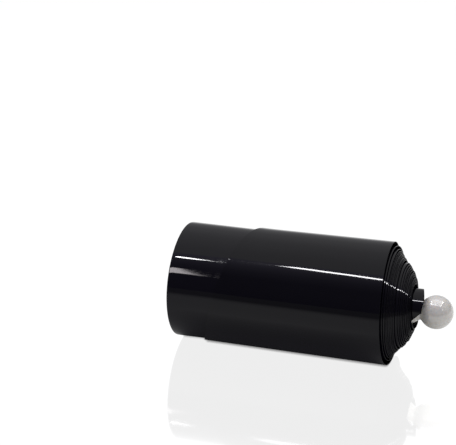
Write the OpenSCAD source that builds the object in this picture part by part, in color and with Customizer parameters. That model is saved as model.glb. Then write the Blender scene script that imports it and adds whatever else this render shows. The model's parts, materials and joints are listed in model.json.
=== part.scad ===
// Collapsible magic cane: one long springy film band, wound into a roll that
// telescopes turn by turn out of the front, and a white ball-ended tip whose
// hollow shank is gripped by the last turn at the core.
// The roll lies on its side: X runs along its axis towards the ball, Z is up.

/* [Band] */
// Width of the film band, which is the length of the closed roll
band_w = 100; // [85:1:115]
// Thickness of the film
band_t = 0.36; // [0.25:0.01:0.42]
// Outer radius of the closed roll
roll_r = 28.9; // [28.6:0.1:32]
// Outer radius of the innermost turn at its very end
core_r = 8.28; // [8:0.02:8.8]
// How far the core hangs below the middle of the roll
sag = 0.8; // [0:0.1:2]
// Gap between the end of one turn and the start of the next
turn_gap = 0.3; // [0.2:0.05:0.5]

/* [Front cone] */
// How far the inner turns stand out past the front rim
cone_out = 16.5; // [8:0.1:17]
// Bulge of the cone, 1 is straight and 2 is a dome
cone_bulge = 1.2; // [1:0.1:2.5]
// Extra stand-out of the innermost turn at its furthest corner
core_out = 4.1; // [0:0.1:5]

/* [Slanted ends of the band] */
// Advance along the roll for each millimetre round it
cut_slope = 0.262; // [0.2:0.002:0.39]
// Distance from the rear rim at which the outer slant starts
cut_start = 46.6; // [40:0.1:80]
// Angle round the innermost turn at which the inner slant starts
notch_from = 147; // [100:1:280]

/* [Ball tip] */
// Diameter of the ball
ball_d = 15.6; // [14:0.1:17]
// Distance of the ball's centre past the front rim
ball_out = 20.7; // [20:0.1:24]
// Diameter of the neck under the ball
neck_d = 8.8; // [5:0.1:9.4]
// Distance of the skirt's edge behind the ball's centre
skirt_back = 11; // [10:0.5:15]
// Outer diameter of the flared skirt
skirt_d = 14.2; // [12:0.1:15]
// Thickness of the skirt's edge
skirt_t = 0.9; // [0.6:0.1:1.2]
// Outer diameter of the shank
shank_d = 15.74; // [15.6:0.02:15.8]
// Length of the shank behind the skirt
shank_l = 24; // [15:1:30]
// Radius of the bore up the shank
shank_bore_r = 6; // [5:0.1:6.5]
// Depth of the bore up the shank
shank_bore_l = 20; // [12:1:22]

/* [Hidden] */

turns = 24;                       // whole turns in the roll
seg = 12;                         // degrees in each flat of the winding
per = 360 / seg;                  // flats in a turn
pitch = (roll_r - core_r) / turns; // radial step from one turn to the next
first_a = -seg;                   // where every turn starts, low at the back

// The winding angle a runs from 0 at the outer end to 360 * turns at the core.
function rad(a) = roll_r - pitch * a / 360;
// Height of the winding's centre, which drops towards the core.
function mid_z(a) = rest_z - sag * a / (360 * turns);
// Lowest corner of the outer turn, just before the bottom, sits at z = 0.
low_a = 264 - first_a;
rest_z = rad(low_a) * cos(seg / 2) + sag * low_a / (360 * turns);
mid_y = -pitch / 4;               // centres the roll between its two sides
end_x = band_w + ball_out + ball_d / 2;
back_x = -end_x / 2;              // rear rim

// A corner of the winding in the plane across the roll.
function corner(a, inset) = [
    (rad(a) - inset) * cos(first_a + a) + mid_y,
    (rad(a) - inset) * sin(first_a + a) + mid_z(a)
];
// Angle that the gap takes at the end of turn i.
function gap_a(i) = turn_gap / rad(360 * i) * 180 / PI;
// The winding angles at which turn i has its corners.
function stops(i) = [for (k = [0:per]) 360 * (i - 1) + min(k * seg, 360 - gap_a(i))];
// Axial stand-out of turn i: none on the two outer turns, then a cone.
function lead(i) = i < 3 ? 0 :
    cone_out * (1 - pow(rad(360 * (i - 0.5)) / rad(540), cone_bulge));
// Stand-out of the innermost turn at the angle a: it climbs to its corner.
function core_lead(a) = lead(turns - 1)
    + (lead(turns) + core_out - lead(turns - 1))
    * min(1, (a - 360 * (turns - 1)) / notch_from);

// Arc length from the start of turn i to the angle a.
function arc(i, a) = (a - 360 * (i - 1)) * PI / 180 * rad(360 * (i - 0.5));

// A whole turn of the band, square at both rims.
module whole_turn(i) {
    s = stops(i);
    translate([back_x + lead(i), 0, 0])
        rotate([90, 0, 90])
            linear_extrude(height = band_w)
                polygon(concat(
                    [for (a = s) corner(a, 0)],
                    [for (k = [len(s) - 1:-1:0]) corner(s[k], band_t)]
                ));
}

// A turn whose rims follow the two lists of X values, one value a corner.
module slanted_turn(i, lows, highs) {
    s = stops(i);
    n = len(s);
    ring = [for (k = [0:n - 1])
        let (o = corner(s[k], 0), c = corner(s[k], band_t))
        each [[lows[k], o[0], o[1]], [highs[k], o[0], o[1]],
              [highs[k], c[0], c[1]], [lows[k], c[0], c[1]]]];
    sides = [for (k = [0:n - 2]) let (p = 4 * k, q = 4 * k + 4)
        each [[p, q, q + 1], [p, q + 1, p + 1],
              [p + 2, q + 2, q + 3], [p + 2, q + 3, p + 3],
              [p + 1, q + 1, q + 2], [p + 1, q + 2, p + 2],
              [p, p + 3, q + 3], [p, q + 3, q]]];
    m = 4 * n - 4;
    polyhedron(ring, concat(sides, [[0, 1, 2], [0, 2, 3], [m, m + 3, m + 2], [m, m + 2, m + 1]]));
}

// The outer end of the band: its rear rim is cut on a slant round the whole
// turn, so the free end starts as a narrow tongue at the back.
module outer_end_turn() {
    s = stops(1);
    slanted_turn(1,
        [for (a = s) back_x + max(0.4, cut_start - cut_slope * arc(1, a))],
        [for (a = s) back_x + band_w]);
}

// The inner end of the band: it climbs out past the cone to a corner, and then
// its front rim falls back on the same slant, which leaves a notch that shows
// the tip's skirt.
module inner_end_turn() {
    s = stops(turns);
    from = 360 * (turns - 1) + notch_from;
    slanted_turn(turns,
        [for (a = s) back_x + core_lead(a)],
        [for (a = s) back_x + band_w + core_lead(a)
            - (a > from ? cut_slope * (arc(turns, a) - arc(turns, from)) : 0)]);
}

module band_turn(i) {
    color([0.06, 0.06, 0.075])
        if (i == 1) outer_end_turn();
        else if (i == turns) inner_end_turn();
        else whole_turn(i);
}

// Ball, waisted neck, flared skirt and hollow shank, moulded in one.
module ball_tip() {
    ball_x = back_x + band_w + ball_out;
    r = ball_d / 2;
    skirt_x = -skirt_back;         // skirt edge, from the ball's centre
    flare_x = -r + 1.2;            // where the neck leaves the ball
    color([0.93, 0.93, 0.91])
        translate([ball_x, mid_y, mid_z(360 * turns)])
            rotate([0, 90, 0]) {
                difference() {
                    union() {
                        sphere(r = r, $fn = 96);
                        rotate_extrude($fn = 96)
                            polygon(concat(
                                [[0, flare_x]],
                                [for (k = [0:10]) let (u = k / 10)
                                    [neck_d / 2 + (skirt_d - neck_d) / 2 * pow(u, 1.2),
                                     flare_x + (skirt_x - flare_x) * u]],
                                [[skirt_d / 2, skirt_x - skirt_t],
                                 [shank_d / 2 - 0.8, skirt_x - skirt_t - 0.6],
                                 [shank_d / 2 - 0.8, skirt_x - 4],
                                 [shank_d / 2, skirt_x - 5.5],
                                 [shank_d / 2, skirt_x - shank_l],
                                 [0, skirt_x - shank_l]]
                            ));
                    }
                    translate([0, 0, skirt_x - shank_l - 1])
                        cylinder(h = shank_bore_l + 1, r = shank_bore_r, $fn = 96);
                }
            }
}

band_turn(1);  // band_turn_01
band_turn(2);  // band_turn_02
band_turn(3);  // band_turn_03
band_turn(4);  // band_turn_04
band_turn(5);  // band_turn_05
band_turn(6);  // band_turn_06
band_turn(7);  // band_turn_07
band_turn(8);  // band_turn_08
band_turn(9);  // band_turn_09
band_turn(10);  // band_turn_10
band_turn(11);  // band_turn_11
band_turn(12);  // band_turn_12
band_turn(13);  // band_turn_13
band_turn(14);  // band_turn_14
band_turn(15);  // band_turn_15
band_turn(16);  // band_turn_16
band_turn(17);  // band_turn_17
band_turn(18);  // band_turn_18
band_turn(19);  // band_turn_19
band_turn(20);  // band_turn_20
band_turn(21);  // band_turn_21
band_turn(22);  // band_turn_22
band_turn(23);  // band_turn_23
band_turn(24);  // band_turn_24
ball_tip();
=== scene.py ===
import json
import math

import bpy
import numpy as np
from mathutils import Matrix, Vector

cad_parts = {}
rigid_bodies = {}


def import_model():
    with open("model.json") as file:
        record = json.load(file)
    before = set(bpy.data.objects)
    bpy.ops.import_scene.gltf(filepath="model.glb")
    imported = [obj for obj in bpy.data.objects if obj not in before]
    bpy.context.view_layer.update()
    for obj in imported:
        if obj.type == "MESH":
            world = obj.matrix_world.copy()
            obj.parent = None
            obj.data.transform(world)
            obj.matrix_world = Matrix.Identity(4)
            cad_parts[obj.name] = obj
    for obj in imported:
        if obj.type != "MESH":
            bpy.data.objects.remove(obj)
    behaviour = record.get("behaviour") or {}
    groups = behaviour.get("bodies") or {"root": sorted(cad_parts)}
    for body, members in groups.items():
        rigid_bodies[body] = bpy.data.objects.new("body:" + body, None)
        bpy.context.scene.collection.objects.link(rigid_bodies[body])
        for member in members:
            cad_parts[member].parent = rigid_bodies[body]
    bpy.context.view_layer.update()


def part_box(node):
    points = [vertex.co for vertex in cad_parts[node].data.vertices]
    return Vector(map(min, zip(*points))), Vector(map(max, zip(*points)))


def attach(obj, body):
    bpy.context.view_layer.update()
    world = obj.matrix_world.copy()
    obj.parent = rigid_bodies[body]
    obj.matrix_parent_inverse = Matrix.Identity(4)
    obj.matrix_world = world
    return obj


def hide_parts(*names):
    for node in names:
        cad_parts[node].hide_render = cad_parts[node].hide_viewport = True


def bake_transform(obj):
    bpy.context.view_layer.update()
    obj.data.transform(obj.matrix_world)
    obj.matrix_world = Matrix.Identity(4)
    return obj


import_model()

MM = 0.001
TURNS = 24
FIRST = -12.0  # degrees round the axis, from +Y towards +Z, at which every turn starts
FILM = 0.25  # film thickness, mm
SLOPE = 0.263  # slant of the band's cut ends, mm along the axis for each mm round it

# Places that come from the frame, in mm
_lo, _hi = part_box("band_turn_02")
BACK = _lo[0] / MM  # rear rim
WIDTH = (_hi[0] - _lo[0]) / MM  # width of the band
_lo, _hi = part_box("ball_tip")
TIP_Y = (_lo[1] + _hi[1]) / 2 / MM
TIP_Z = (_lo[2] + _hi[2]) / 2 / MM
TIP_FRONT = _hi[0] / MM
TIP_BACK = _lo[0] / MM
BALL_R = 7.8

# ---------------------------------------------------------------- the camera

focal = 1400.0  # in pixels of a 456 wide frame
cam_data = bpy.data.cameras.new("camera")
cam_data.sensor_width = 36.0
cam_data.lens = 36.0 * focal / 456.0
cam_data.clip_start, cam_data.clip_end = 0.005, 60.0
camera = bpy.data.objects.new("camera", cam_data)
bpy.context.scene.collection.objects.link(camera)
tilt = math.radians(-0.41)  # the roll is a slight cone, so its axis rises to the front
lean = Matrix.Rotation(tilt, 3, "Y")
forward = (lean @ Vector((-0.2891, 0.8970, -0.3343))).normalized()
side = (lean @ Vector((0.9518, 0.3067, 0.0))).normalized()
side = (side - forward * side.dot(forward)).normalized()
upward = side.cross(forward)
rear_axis = Vector((BACK, TIP_Y, 27.9))
place = (rear_axis + lean @ Vector((210.83, -590.30, 250.90))) * MM
camera.matrix_world = Matrix(
    (
        (side.x, upward.x, -forward.x, place.x),
        (side.y, upward.y, -forward.y, place.y),
        (side.z, upward.z, -forward.z, place.z),
        (0, 0, 0, 1),
    )
)
bpy.context.scene.camera = camera

# ------------------------------------------------- the winding of the band


def smooth_table(xs, ys, spread, step=0.005):
    """A function through these points with its corners rounded off over spread."""
    grid = np.arange(-1.0, TURNS + 1.0, step)
    raw = np.interp(grid, xs, ys)
    # keep the slope beyond both ends, so that the rounding doesn't bend them
    a = (ys[1] - ys[0]) / (xs[1] - xs[0])
    b = (ys[-1] - ys[-2]) / (xs[-1] - xs[-2])
    raw = np.where(grid < xs[0], ys[0] + a * (grid - xs[0]), raw)
    raw = np.where(grid > xs[-1], ys[-1] + b * (grid - xs[-1]), raw)
    n = int(3 * spread / step)
    k = np.exp(-0.5 * (np.arange(-n, n + 1) * step / spread) ** 2)
    k /= k.sum()
    soft = np.convolve(np.pad(raw, n, mode="reflect", reflect_type="odd"), k, "valid")
    return lambda m: np.interp(m, grid, soft)


# Outer radius at the front rim and at the rear rim, in mm, against the number of
# turns from the outer end. Two turns stand clear of the pack within, which has an
# outer group wound tight and an inner group wound looser, and then the core.
front_r = smooth_table(
    [0, 0.78, 1.0, 1.28, 1.78, 2.28, 3.28, 10.5, 11.3, 22.28, 23.1, 24],
    [28.94, 28.36, 27.75, 26.75, 26.15, 25.50, 24.50, 20.70, 19.75, 10.95, 9.00, 8.50],
    0.06,
)
rear_r = smooth_table(
    [0, 1.0, 1.5, 2.0, 2.28, 3.28, 4.28, 10.5, 11.3, 22.28, 23.1, 24],
    [28.10, 27.75, 27.45, 27.10, 26.40, 24.95, 23.66, 20.73, 19.78, 10.98, 9.03, 8.53],
    0.06,
)
# How far each turn stands out past the front rim: two steps, the cone, the core.
stand_out = smooth_table(
    [0, 0.28, 0.53, 0.78, 1.0, 1.28, 1.53, 1.78, 2.28, 3.28, 5.0, 7.0, 10.5, 11.2,
     13.0, 16.0, 18.5, 20.0, 22.28, 22.6, 22.95, 23.25, 23.42, 23.46, 24.0],
    [-2.0, -1.37, 0.0, 1.37, 1.2, -0.1, 0.9, 1.35, 1.45, 1.95, 2.6, 3.4, 4.9, 6.0,
     7.3, 8.85, 9.75, 10.05, 10.5, 10.95, 11.8, 14.3, 16.1, 15.15, 15.1],
    0.03,
)
# The same for the rear rims, which the inner turns draw away from.
draw_in = smooth_table(
    [0, 1.0, 1.28, 1.53, 1.78, 2.2, 3.3, 7.0, 24.0],
    [-0.8, -0.5, -0.2, -0.7, -0.8, -0.4, 0.8, 3.0, 13.4],
    0.05,
)


def wobble(phi, m):
    """Small waves in the rims, the same for neighbours so that they nest."""
    deep = np.clip((m - 1.0) / 0.5, 0, 1) * np.clip((23.4 - m) / 0.5, 0, 1)
    return deep * (
        -0.50 * np.sin(phi)
        + 0.12 * np.sin(phi * 2.0 - m * 1.7 + 0.8)
        + 0.06 * np.sin(phi * 5.0 + m * 2.3)
        + 0.05 * np.sin(m * 2 * math.pi * 0.618 + phi)
    )


def winding(m, s):
    """Outer surface of the film: m turns from the outer end, s from 0 at the rear
    rim to 1 at the front rim. Returns (x, y, z, phi, r), in mm."""
    phi = np.radians(FIRST + 360.0 * m)
    rf, rr = front_r(m), rear_r(m)
    r = rf + (rr - rf) * np.power(np.clip(1 - s, 0, 1), 1.1)
    # the rear rim rolls in a little where it was cut
    r = r - 0.10 * np.exp(-np.clip(s, 0, 1) * WIDTH / 0.4)
    # the film is never quite round
    r = r + 0.05 * np.cos(2 * phi + 0.7) + 0.03 * np.cos(3 * phi - 1.0)
    # the outer end lifts a little along its cut edge
    edge = cut_x(m) / WIDTH
    away = (s - edge) * WIDTH * math.cos(math.atan(SLOPE))
    on_outer = np.clip(1.2 - m, 0, 0.2) / 0.2
    r = r + on_outer * 0.13 * np.exp(-np.clip(away, 0, None) / 4.0) * lift(phi)
    share = np.clip((m - 1.2) / (TURNS - 1.2), 0, 1)
    zc = 27.90 + 0.55 * s - 0.30 * share
    x = BACK + s * WIDTH + stand_out(m) * s + draw_in(m) * (1 - s) + wobble(phi, m) * s
    y = TIP_Y + r * np.cos(phi)
    z = zc + r * np.sin(phi)
    return x, y, z, phi, r


def lift(phi):
    """The cut edge lifts only where nothing presses on it, not under the roll."""
    return np.clip(0.5 + 0.9 * np.sin(phi + 0.35), 0, 1)


def cut_x(m):
    """Distance of the slanted outer end from the rear rim, in mm."""
    return np.clip(46.6 - SLOPE * 28.2 * 2 * math.pi * m, 0, None)


def notch_x(m):
    """How far the front rim falls back at the inner end, in mm."""
    start = TURNS - 1 + 185.0 / 360.0
    back = 1.1 * np.clip(m - start, 0, None) * 2 * math.pi * 8.5
    return 12.0 * (1 - np.exp(-back / 12.0))


def film_piece(i):
    """Turn i of the band as one closed mesh of film with softened rims."""
    fine = i <= 2
    n_ang = 160 if fine else (120 if i < 22 else 144)
    n_ax = 56 if fine else 26
    turns = np.linspace(i - 1, i, n_ang + 1)
    t = np.linspace(0, 1, n_ax) ** (1.5 if fine else 1.25)  # more points near the rear
    soft = 0.06  # rim rounding, mm
    rings, weights, uvs = [], [], []
    for m in turns:
        a = float(cut_x(m)) / WIDTH if m < 1.5 else 0.0
        b = 1.0 - float(notch_x(m)) / WIDTH
        s = a + (b - a) * t
        step = 0.22 / WIDTH
        close = (0.06 if i == 1 else 0.22) / WIDTH  # the slanted outer end is cut sharp
        s = np.concatenate(([s[0], s[0] + close], s[1:-1], [s[-1] - step, s[-1]]))
        for k in range(2, len(s) - 2):
            s[k] = max(s[k], s[k - 1] + 0.02 / WIDTH)
        mm = np.full_like(s, m)
        x, y, z, phi, r = winding(mm, s)
        cy, cz = y - r * np.cos(phi), z - r * np.sin(phi)

        def at(dx, depth, j):
            rr = r[j] - depth
            return (
                x[j] + dx,
                cy[j] + rr * math.cos(phi[j]),
                cz[j] + rr * math.sin(phi[j]),
            )

        n = len(s)
        crisp = 0.02 if i == 1 else soft
        outer = [at(crisp if j == 0 else (-soft if j == n - 1 else 0), 0, j) for j in range(n)]
        inner = [at(crisp if j == 0 else (-soft if j == n - 1 else 0), FILM, j) for j in range(n)]
        ring = outer + [at(0, soft, n - 1), at(0, FILM - soft, n - 1)]
        ring += inner[::-1] + [at(0, FILM - crisp, 0), at(0, crisp, 0)]
        rings.append(ring)
        weights.append(m - (i - 1))
        uvs.append((m, s))
    rings = np.array(rings)  # stations, loop, 3
    ns, nl, _ = rings.shape
    n = (nl - 4) // 2
    verts = rings.reshape(-1, 3)
    # nothing reaches below the floor
    verts[:, 2] = np.maximum(verts[:, 2], 0.02)
    faces, smooth = [], []
    for k in range(ns - 1):
        p, q = k * nl, (k + 1) * nl
        for j in range(nl):
            j2 = (j + 1) % nl
            faces.append((p + j, q + j, q + j2, p + j2))
            smooth.append(True)
    for base, turn_round in ((0, False), ((ns - 1) * nl, True)):
        quads = []
        for j in range(n - 1):
            o1, o2 = base + j, base + j + 1
            i1, i2 = base + 2 * n + 1 - j, base + 2 * n + 1 - (j + 1)
            quads.append((o1, o2, i2, i1))
        quads.append((base + n - 1, base + n, base + n + 1, base + n + 2))
        quads.append((base + 2 * n + 1, base + 2 * n + 2, base + 2 * n + 3, base))
        for quad in quads:
            faces.append(quad if not turn_round else quad[::-1])
            smooth.append(False)
    mesh = bpy.data.meshes.new(f"film_turn_{i:02d}")
    mesh.from_pydata((verts * MM).tolist(), [], faces)
    mesh.polygons.foreach_set("use_smooth", smooth)
    mesh.validate()
    mesh.update()
    # the flat ends of the turn meet the curved faces at a sharp edge
    ends = {v for v in range(nl)} | {v for v in range((ns - 1) * nl, ns * nl)}
    sharp = mesh.attributes.new("sharp_edge", "BOOLEAN", "EDGE")
    flags = [
        (e.vertices[0] in ends and e.vertices[1] in ends) for e in mesh.edges
    ]
    sharp.data.foreach_set("value", flags)
    # film coordinates: along the band and across it, in metres
    layer = mesh.uv_layers.new(name="film")
    along = np.array([u[0] for u in uvs])
    arc_at = np.array([arc_length(m) for m in along])
    across = np.empty((ns, nl))
    for k, (m, s) in enumerate(uvs):
        row = np.concatenate((s, [s[-1], s[-1]], s[::-1], [s[0], s[0]])) * WIDTH * MM
        across[k] = row
    idx = np.empty(len(mesh.loops), np.int64)
    mesh.loops.foreach_get("vertex_index", idx)
    uv = np.stack((arc_at[idx // nl], across.reshape(-1)[idx]), 1)
    layer.data.foreach_set("uv", uv.astype(np.float32).ravel())
    obj = bpy.data.objects.new(f"film_turn_{i:02d}", mesh)
    bpy.context.scene.collection.objects.link(obj)
    w = np.repeat(np.array(weights, np.float32), nl)
    # where the film was cut: the narrow faces of the front rim, and of the rear rim too from the third
    # turn in
    cut = np.zeros(nl, np.float32)
    cut[[n, n + 1]] = 1.0
    if i > 2:
        cut[[nl - 2, nl - 1]] = 1.0
    edge = mesh.attributes.new("cut_edge", "FLOAT", "POINT")
    edge.data.foreach_set("value", np.tile(cut, ns))
    return obj, w


def arc_length(m):
    """Length of film from the outer end, in metres."""
    return 2 * math.pi * (29.0 * m - 0.44 * m * m) * MM


# ------------------------------------------------------------- materials


def new_material(name):
    mat = bpy.data.materials.new(name)
    mat.use_nodes = True
    nt = mat.node_tree
    nt.nodes.clear()
    out = nt.nodes.new("ShaderNodeOutputMaterial")
    bsdf = nt.nodes.new("ShaderNodeBsdfPrincipled")
    nt.links.new(bsdf.outputs[0], out.inputs["Surface"])
    return mat, nt, bsdf, out


def add(nt, kind, **values):
    node = nt.nodes.new(kind)
    for k, v in values.items():
        if k in node.inputs.keys():
            node.inputs[k].default_value = v
        else:
            setattr(node, k, v)
    return node


def scaled(nt, source, scale, kind="noise", detail=2.0, rough=0.5):
    """A noise of its own, with a different scale along each direction."""
    mapping = add(nt, "ShaderNodeMapping")
    mapping.inputs["Scale"].default_value = scale
    nt.links.new(source, mapping.inputs["Vector"])
    noise = add(nt, "ShaderNodeTexNoise", Scale=1.0, Detail=detail, Roughness=rough)
    nt.links.new(mapping.outputs[0], noise.inputs["Vector"])
    return noise


def film_material():
    mat, nt, bsdf, out = new_material("black_film")
    uv = add(nt, "ShaderNodeUVMap", uv_map="film")
    # long shallow waves, then the fine draw lines of rolled film
    wave = scaled(nt, uv.outputs[0], (38, 22, 1), detail=1.0)
    ripple = scaled(nt, uv.outputs[0], (420, 60, 1), detail=2.0)
    lines = scaled(nt, uv.outputs[0], (90, 5200, 1), detail=2.0)
    grain = scaled(nt, uv.outputs[0], (9000, 9000, 1), detail=1.0)
    bump3 = add(nt, "ShaderNodeBump", Strength=0.35, Distance=0.0000035)
    nt.links.new(lines.outputs["Fac"], bump3.inputs["Height"])
    bump2 = add(nt, "ShaderNodeBump", Strength=0.5, Distance=0.00001)
    nt.links.new(ripple.outputs["Fac"], bump2.inputs["Height"])
    nt.links.new(bump3.outputs[0], bump2.inputs["Normal"])
    bump1 = add(nt, "ShaderNodeBump", Strength=0.6, Distance=0.00022)
    nt.links.new(wave.outputs["Fac"], bump1.inputs["Height"])
    nt.links.new(bump2.outputs[0], bump1.inputs["Normal"])
    nt.links.new(bump1.outputs[0], bsdf.inputs["Normal"])
    # handling marks: roughness varies in soft clouds and thin streaks
    cloud = scaled(nt, uv.outputs[0], (55, 45, 1), detail=5.0, rough=0.6)
    streak = scaled(nt, uv.outputs[0], (30, 900, 1), detail=3.0, rough=0.6)
    both = add(nt, "ShaderNodeMath", operation="MULTIPLY")
    nt.links.new(cloud.outputs["Fac"], both.inputs[0])
    nt.links.new(streak.outputs["Fac"], both.inputs[1])
    rough = add(nt, "ShaderNodeMapRange")
    rough.inputs["From Min"].default_value = 0.12
    rough.inputs["From Max"].default_value = 0.42
    rough.inputs["To Min"].default_value = 0.022
    rough.inputs["To Max"].default_value = 0.075
    nt.links.new(both.outputs[0], rough.inputs["Value"])
    # the cut rims are matt, without the gloss of the faces
    cut = add(nt, "ShaderNodeAttribute", attribute_name="cut_edge")
    matt = add(nt, "ShaderNodeMapRange")
    matt.inputs["To Max"].default_value = 0.34
    nt.links.new(cut.outputs["Fac"], matt.inputs["Value"])
    total = add(nt, "ShaderNodeMath", operation="ADD")
    nt.links.new(rough.outputs[0], total.inputs[0])
    nt.links.new(matt.outputs[0], total.inputs[1])
    nt.links.new(total.outputs[0], bsdf.inputs["Roughness"])
    tone = add(nt, "ShaderNodeMixRGB")
    tone.inputs["Color1"].default_value = (0.0012, 0.0009, 0.0028, 1)
    tone.inputs["Color2"].default_value = (0.0024, 0.0020, 0.0044, 1)
    nt.links.new(cloud.outputs["Fac"], tone.inputs["Fac"])
    pale = add(nt, "ShaderNodeMixRGB")
    pale.inputs["Color2"].default_value = (0.010, 0.0095, 0.012, 1)
    nt.links.new(cut.outputs["Fac"], pale.inputs["Fac"])
    nt.links.new(tone.outputs[0], pale.inputs["Color1"])
    nt.links.new(pale.outputs[0], bsdf.inputs["Base Color"])
    bsdf.inputs["IOR"].default_value = 1.30
    gloss = add(nt, "ShaderNodeMapRange")
    gloss.inputs["To Min"].default_value = 0.5
    gloss.inputs["To Max"].default_value = 0.12
    nt.links.new(cut.outputs["Fac"], gloss.inputs["Value"])
    nt.links.new(gloss.outputs[0], bsdf.inputs["Specular IOR Level"])
    return mat


def tip_material():
    mat, nt, bsdf, out = new_material("milky_plastic")
    tex = add(nt, "ShaderNodeTexCoord")
    cloud = scaled(nt, tex.outputs["Object"], (220, 220, 220), detail=4.0, rough=0.6)
    tone = add(nt, "ShaderNodeMixRGB")
    tone.inputs["Color1"].default_value = (0.645, 0.618, 0.565, 1)
    tone.inputs["Color2"].default_value = (0.690, 0.674, 0.632, 1)
    nt.links.new(cloud.outputs["Fac"], tone.inputs["Fac"])
    nt.links.new(tone.outputs[0], bsdf.inputs["Base Color"])
    fine = scaled(nt, tex.outputs["Object"], (2600, 2600, 2600), detail=3.0)
    soft = scaled(nt, tex.outputs["Object"], (300, 300, 300), detail=2.0)
    bump2 = add(nt, "ShaderNodeBump", Strength=0.3, Distance=0.000004)
    nt.links.new(fine.outputs["Fac"], bump2.inputs["Height"])
    bump1 = add(nt, "ShaderNodeBump", Strength=0.4, Distance=0.00002)
    nt.links.new(soft.outputs["Fac"], bump1.inputs["Height"])
    nt.links.new(bump2.outputs[0], bump1.inputs["Normal"])
    nt.links.new(bump1.outputs[0], bsdf.inputs["Normal"])
    rough = add(nt, "ShaderNodeMapRange")
    rough.inputs["To Min"].default_value = 0.07
    rough.inputs["To Max"].default_value = 0.13
    nt.links.new(cloud.outputs["Fac"], rough.inputs["Value"])
    nt.links.new(rough.outputs[0], bsdf.inputs["Roughness"])
    bsdf.inputs["IOR"].default_value = 1.47
    bsdf.inputs["Subsurface Weight"].default_value = 0.35
    bsdf.inputs["Subsurface Radius"].default_value = (0.0030, 0.0024, 0.0018)
    bsdf.inputs["Subsurface Scale"].default_value = 0.6
    bsdf.inputs["Coat Weight"].default_value = 1.0
    bsdf.inputs["Coat Roughness"].default_value = 0.03
    bsdf.inputs["Coat IOR"].default_value = 1.75
    return mat


FILM_MAT = film_material()
TIP_MAT = tip_material()

# ------------------------------------------------------------- the band

for i in range(1, TURNS + 1):
    piece, w = film_piece(i)
    piece.data.materials.append(FILM_MAT)
    body, inner_body = f"turn_{i:02d}", f"turn_{i + 1:02d}"
    if i < TURNS:
        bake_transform(piece)
    else:
        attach(piece, body)
    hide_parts(f"band_turn_{i:02d}")

# ------------------------------------------------------------- the tip


def tip_profile():
    """(x from the ball's centre, radius) from the ball's pole to the shank's rear,
    then up the bore, in mm."""
    r = BALL_R
    pts = []
    for k in range(0, 58):
        a = math.radians(2.5 * k)
        pts.append((r * math.cos(a), r * math.sin(a)))
    # a small fillet, then the trumpet of the skirt
    xj, rj = pts[-1]
    for k in range(1, 7):
        u = k / 6
        pts.append((xj - 0.75 * u, rj + (4.42 - rj) * (1 - (1 - u) ** 2)))
    x0 = pts[-1][0]
    for k in range(1, 17):
        u = k / 16
        pts.append((x0 + (-11.0 - x0) * u, 4.42 + 2.7 * u**1.25))
    pts += [(-11.12, 7.2), (-11.35, 7.22), (-11.7, 7.12), (-11.85, 6.9)]
    pts += [(-12.1, 6.4), (-12.4, 6.3), (-14.8, 6.3), (-15.1, 6.4), (-16.6, 7.7), (-17.0, 7.85)]
    rear = TIP_BACK - (TIP_FRONT - r)
    pts += [(rear + 0.8, 7.85), (rear + 0.2, 7.5), (rear, 7.2)]
    pts += [(rear, 6.25), (rear + 0.12, 6.08), (rear + 0.4, 6.0), (rear + 19.6, 6.0), (rear + 20, 5.7), (rear + 20, 0.0)]
    return pts


def tip_piece():
    pts = tip_profile()
    n = 144
    cx = TIP_FRONT - BALL_R
    # the tip hangs a little in the loose core
    hang = math.radians(0.5)
    verts, faces = [], []

    def hung(x, y, z):
        back = x + 27.0
        return (
            cx - 27.0 + back * math.cos(hang) + z * math.sin(hang),
            TIP_Y + y,
            TIP_Z + z * math.cos(hang) - back * math.sin(hang),
        )

    # densify the long spans so that ribs and grooves have points to act on
    dense = [pts[0]]
    for (xa, ra), (xb, rb) in zip(pts, pts[1:]):
        parts = max(1, int(math.hypot(xb - xa, rb - ra) / 0.6))
        for k in range(1, parts + 1):
            u = k / parts
            dense.append((xa + (xb - xa) * u, ra + (rb - ra) * u))
    poles = (dense[0], dense[-1])
    rows = dense[1:-1]
    for x, r in rows:
        for k in range(n):
            a = 2 * math.pi * k / n
            rr = r
            if -10.9 < x < -7.6:
                # shallow ribs that stiffen the skirt
                fade = min(1, (x + 10.9) / 0.5, (-7.6 - x) / 0.8)
                rr += 0.10 * fade * math.cos(16 * a)
            if x > -6:
                # the faint mould line round the ball
                d = abs(math.sin(a - math.radians(62))) * r
                rr += 0.012 * math.exp(-((d / 0.16) ** 2)) * min(1.0, r / 3)
            verts.append(hung(x, rr * math.cos(a), rr * math.sin(a)))
    for j in range(len(rows) - 1):
        for k in range(n):
            k2 = (k + 1) % n
            faces.append((j * n + k, (j + 1) * n + k, (j + 1) * n + k2, j * n + k2))
    first = len(verts)
    verts.append(hung(poles[0][0], 0, 0))
    verts.append(hung(poles[1][0], 0, 0))
    last = (len(rows) - 1) * n
    for k in range(n):
        k2 = (k + 1) % n
        faces.append((first, k, k2))
        faces.append((first + 1, last + k2, last + k))
    mesh = bpy.data.meshes.new("ball_and_shank")
    mesh.from_pydata([tuple(c * MM for c in v) for v in verts], [], faces)
    mesh.validate()
    mesh.update()
    mesh.polygons.foreach_set("use_smooth", [True] * len(mesh.polygons))
    obj = bpy.data.objects.new("ball_and_shank", mesh)
    bpy.context.scene.collection.objects.link(obj)
    mesh.set_sharp_from_angle(angle=math.radians(50))
    return obj


tip = tip_piece()
tip.data.materials.append(TIP_MAT)
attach(tip, "turn_24")
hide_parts("ball_tip")

# ------------------------------------------------------- floor, world, lights


def sheet_of_floor(name, z):
    mesh = bpy.data.meshes.new(name)
    h = 12.0
    mesh.from_pydata([(-h, -h, z), (h, -h, z), (h, h, z), (-h, h, z)], [], [(0, 1, 2, 3)])
    obj = bpy.data.objects.new(name, mesh)
    bpy.context.scene.collection.objects.link(obj)
    mat, nt, bsdf, out = new_material(name)
    nt.nodes.remove(bsdf)
    mesh.materials.append(mat)
    return obj, nt, out


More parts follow.
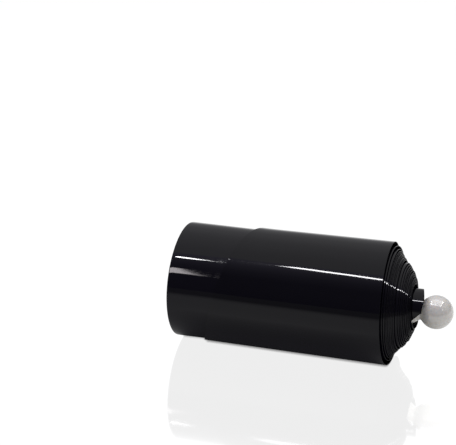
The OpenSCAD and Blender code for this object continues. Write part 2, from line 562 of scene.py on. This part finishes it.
def painted_shade(nt, distance, low, high, power=1.0):
    """Painted shade from ambient occlusion: 1 in the open, falling to 0 where the object is closer than
    distance.
    """
    near = add(nt, "ShaderNodeAmbientOcclusion", samples=16)
    near.inputs["Distance"].default_value = distance
    keep = add(nt, "ShaderNodeMapRange")
    keep.inputs["From Min"].default_value = low
    keep.inputs["From Max"].default_value = high
    nt.links.new(near.outputs["AO"], keep.inputs["Value"])
    bend = add(nt, "ShaderNodeMath", operation="POWER")
    bend.inputs[1].default_value = power
    nt.links.new(keep.outputs[0], bend.inputs[0])
    return bend


def far_from(nt, start, end):
    """0 near the object, 1 far from it."""
    tex = add(nt, "ShaderNodeTexCoord")
    length = add(nt, "ShaderNodeVectorMath", operation="LENGTH")
    nt.links.new(tex.outputs["Object"], length.inputs[0])
    reach = add(nt, "ShaderNodeMapRange", interpolation_type="SMOOTHSTEP")
    reach.inputs["From Min"].default_value = start
    reach.inputs["From Max"].default_value = end
    nt.links.new(length.outputs["Value"], reach.inputs["Value"])
    return tex, reach


def floors():
    # the white lit table that the camera sees, its glow darkened by a painted contact shadow right under
    # the object, which it mirrors faintly
    seen, nt, out = sheet_of_floor("table_top", 0.0)
    # painted contact shadow: the glow fades where the object comes within 2 mm
    strength = add(nt, "ShaderNodeMath", operation="MULTIPLY")
    strength.inputs[1].default_value = 0.85
    nt.links.new(painted_shade(nt, 0.0020, 0.02, 0.60).outputs[0], strength.inputs[0])
    table = add(nt, "ShaderNodeEmission")
    nt.links.new(strength.outputs[0], table.inputs["Strength"])
    mirror = add(nt, "ShaderNodeBsdfGlossy")
    mirror.inputs["Color"].default_value = (0.43, 0.43, 0.43, 1)
    mirror.inputs["Roughness"].default_value = 0.06
    both = add(nt, "ShaderNodeAddShader")
    nt.links.new(table.outputs[0], both.inputs[0])
    nt.links.new(mirror.outputs[0], both.inputs[1])
    tex, reach = far_from(nt, 0.30, 1.10)
    glow = add(nt, "ShaderNodeEmission", Strength=1.0)
    mix = add(nt, "ShaderNodeMixShader")
    nt.links.new(reach.outputs[0], mix.inputs["Fac"])
    nt.links.new(both.outputs[0], mix.inputs[1])
    nt.links.new(glow.outputs[0], mix.inputs[2])
    nt.links.new(mix.outputs[0], out.inputs["Surface"])
    seen.visible_glossy = False
    seen.visible_diffuse = False
    seen.visible_transmission = False
    seen.visible_shadow = False

    # the same table as it lights the object, with a broad soft shadow painted into its glow
    felt, nt, out = sheet_of_floor("table_glow", -0.0004)
    tex, reach = far_from(nt, 0.30, 1.10)
    split = add(nt, "ShaderNodeSeparateXYZ")
    nt.links.new(tex.outputs["Object"], split.inputs[0])
    front = add(nt, "ShaderNodeMapRange", interpolation_type="SMOOTHSTEP")
    front.inputs["From Min"].default_value = -0.26
    front.inputs["From Max"].default_value = -0.12
    front.inputs["To Min"].default_value = 0.24
    front.inputs["To Max"].default_value = 0.85
    nt.links.new(split.outputs["Y"], front.inputs["Value"])
    strength = add(nt, "ShaderNodeMath", operation="MULTIPLY")
    # painted shadow: the glow fades where the object comes within 34 mm
    nt.links.new(painted_shade(nt, 0.034, 0.0, 1.0, 2.0).outputs[0], strength.inputs[0])
    nt.links.new(front.outputs[0], strength.inputs[1])
    glow = add(nt, "ShaderNodeEmission")
    nt.links.new(strength.outputs[0], glow.inputs["Strength"])
    nt.links.new(glow.outputs[0], out.inputs["Surface"])
    felt.visible_camera = False
    felt.visible_shadow = False


floors()


def world():
    w = bpy.data.worlds.new("studio")
    bpy.context.scene.world = w
    w.use_nodes = True
    nt = w.node_tree
    nt.nodes.clear()
    out = nt.nodes.new("ShaderNodeOutputWorld")
    tex = add(nt, "ShaderNodeTexCoord")
    split = add(nt, "ShaderNodeSeparateXYZ")
    nt.links.new(tex.outputs["Generated"], split.inputs[0])
    # brightness against the angle over the top, from straight behind (0) to
    # straight in front (180): a pale wall, a soft ceiling, then a dim room
    angle = add(nt, "ShaderNodeMath", operation="ARCTAN2")
    nt.links.new(split.outputs["Z"], angle.inputs[0])
    nt.links.new(split.outputs["Y"], angle.inputs[1])
    turn = add(nt, "ShaderNodeMapRange")
    turn.inputs["From Min"].default_value = -math.pi
    turn.inputs["From Max"].default_value = math.pi
    nt.links.new(angle.outputs[0], turn.inputs["Value"])
    ramp = add(nt, "ShaderNodeValToRGB")
    nt.links.new(turn.outputs[0], ramp.inputs["Fac"])
    levels = [
        (-20, 0.40), (-2, 0.48), (6, 0.42), (14, 0.38), (30, 0.50), (42, 0.68), (55, 0.82),
        (70, 0.98), (80, 1.02), (106, 1.02), (108, 0.85), (114, 0.70), (120, 0.50),
        (130, 0.30), (142, 0.18), (170, 0.15), (179.9, 0.13),
    ]
    stops = ramp.color_ramp.elements
    while len(stops) < len(levels):
        stops.new(0.5)
    for stop, (el, level) in zip(stops, levels):
        stop.position = (el + 180.0) / 360.0
        v = level / 1.2
        stop.color = (v * 0.94, v * 0.90, v * 1.16, 1) if el > 107 else (v, v, v * 1.03, 1)
    # the ceiling is a panel with ends
    flat = add(nt, "ShaderNodeCombineXYZ")
    nt.links.new(split.outputs["Y"], flat.inputs["Y"])
    nt.links.new(split.outputs["Z"], flat.inputs["Z"])
    radius = add(nt, "ShaderNodeVectorMath", operation="LENGTH")
    nt.links.new(flat.outputs[0], radius.inputs[0])
    slope = add(nt, "ShaderNodeMath", operation="DIVIDE")
    nt.links.new(split.outputs["X"], slope.inputs[0])
    nt.links.new(radius.outputs["Value"], slope.inputs[1])
    left = add(nt, "ShaderNodeMapRange", interpolation_type="SMOOTHSTEP")
    left.inputs["From Min"].default_value = -0.78
    left.inputs["From Max"].default_value = -0.68
    left.inputs["To Min"].default_value = 0.12
    left.inputs["To Max"].default_value = 1.2
    nt.links.new(slope.outputs[0], left.inputs["Value"])
    right = add(nt, "ShaderNodeMapRange", interpolation_type="SMOOTHSTEP")
    right.inputs["From Min"].default_value = 0.48
    right.inputs["From Max"].default_value = 0.56
    right.inputs["To Min"].default_value = 1.0
    right.inputs["To Max"].default_value = 0.45
    nt.links.new(slope.outputs[0], right.inputs["Value"])
    side = add(nt, "ShaderNodeMath", operation="MULTIPLY")
    nt.links.new(left.outputs[0], side.inputs[0])
    nt.links.new(right.outputs[0], side.inputs[1])
    base = add(nt, "ShaderNodeMath", operation="MULTIPLY")
    nt.links.new(side.outputs[0], base.inputs[0])
    base.inputs[1].default_value = 1.0
    seen = add(nt, "ShaderNodeBackground")
    seen.inputs["Color"].default_value = (1, 1, 1, 1)
    seen.inputs["Strength"].default_value = 1.0
    lit = add(nt, "ShaderNodeBackground")
    nt.links.new(ramp.outputs["Color"], lit.inputs["Color"])
    nt.links.new(base.outputs[0], lit.inputs["Strength"])
    path = add(nt, "ShaderNodeLightPath")
    mix = add(nt, "ShaderNodeMixShader")
    nt.links.new(path.outputs["Is Camera Ray"], mix.inputs["Fac"])
    nt.links.new(lit.outputs[0], mix.inputs[1])
    nt.links.new(seen.outputs[0], mix.inputs[2])
    nt.links.new(mix.outputs[0], out.inputs["Surface"])


world()


def area(name, direction, distance, size_x, size_y, radiance, along, color=(1, 1, 1)):
    """A rectangle of this radiance that faces the roll. along is the direction of
    its long side."""
    data = bpy.data.lights.new(name, "AREA")
    data.shape = "RECTANGLE"
    data.size, data.size_y = size_x, size_y
    data.energy = radiance * math.pi * size_x * size_y
    data.color = color
    obj = bpy.data.objects.new(name, data)
    bpy.context.scene.collection.objects.link(obj)
    back = Vector(direction).normalized()
    centre = Vector((0, 0, 0.03)) + back * distance
    ax = Vector(along)
    ax = (ax - back * ax.dot(back)).normalized()
    ay = back.cross(ax)
    obj.matrix_world = Matrix(
        (
            (ax.x, ay.x, back.x, centre.x),
            (ax.y, ay.y, back.y, centre.y),
            (ax.z, ay.z, back.z, centre.z),
            (0, 0, 0, 1),
        )
    )
    return obj


def over(x, angle, distance=3.0):
    """The direction of a light at this place along X, this many degrees round from
    straight behind over the top."""
    rest = math.sqrt(distance**2 - x**2)
    a = math.radians(angle)
    return Vector((x, rest * math.cos(a), rest * math.sin(a)))


def strip(name, start, end, width, radiance, color=(1, 1, 1)):
    """A thin light from one place to another."""
    run = end - start
    middle = (start + end) / 2
    return area(name, middle, middle.length, run.length, width, radiance, run, color)


FILM_PIECES = [o for o in bpy.data.objects if o.name.startswith("film_turn_")]
ALL_PIECES = FILM_PIECES + [tip]


def only_on(light, pieces, name):
    """The light is for these pieces and isn't mirrored in the table."""
    group = bpy.data.collections.new(name)
    for piece in pieces:
        group.objects.link(piece)
    light.light_linking.receiver_collection = group


# thin tubes that draw the bright lines along the roll, with a gap between them
only_on(strip("tube_right", over(-0.775, 111.2), over(-0.30, 119.5), 0.085, 80.0, (0.98, 0.98, 1.0)), FILM_PIECES, "for_a")
only_on(strip("tube_left", over(-0.995, 116.0), over(-0.905, 117.0), 0.085, 125.0, (0.98, 0.98, 1.0)), [bpy.data.objects["film_turn_02"]], "for_b")
# the small window light at the left
only_on(strip("window", over(-1.45, 145.2), over(-0.925, 144.0), 0.50, 19.0, (1.0, 0.94, 0.97)), [bpy.data.objects["film_turn_02"]], "for_c")
# the ceiling panel as the gloss of the ball shows it, with its brighter ends
only_on(strip("panel", over(-1.52, 84.0), over(1.30, 84.0), 2.0, 1.33, (0.95, 0.95, 1.0)), [tip], "for_d")
only_on(strip("panel_front", over(-1.60, 108.0), over(1.35, 108.0), 0.10, 7.0), [tip], "for_e")
only_on(strip("panel_left", over(-1.56, 108.0), over(-1.56, 72.0), 0.08, 12.0), [tip], "for_f")
only_on(strip("panel_right", over(1.36, 106.0), over(1.36, 62.0), 0.16, 6.0), [tip], "for_g")
only_on(area("lamp", (0.71, -0.425, 0.545), 3.0, 0.5, 0.5, 3.0, (0.5, 0.8, 0.0)), [tip], "for_h")

scene = bpy.context.scene
scene.view_settings.view_transform = "Standard"
scene.view_settings.look = "None"
scene.view_settings.exposure = 0.0
scene.view_settings.gamma = 1.0
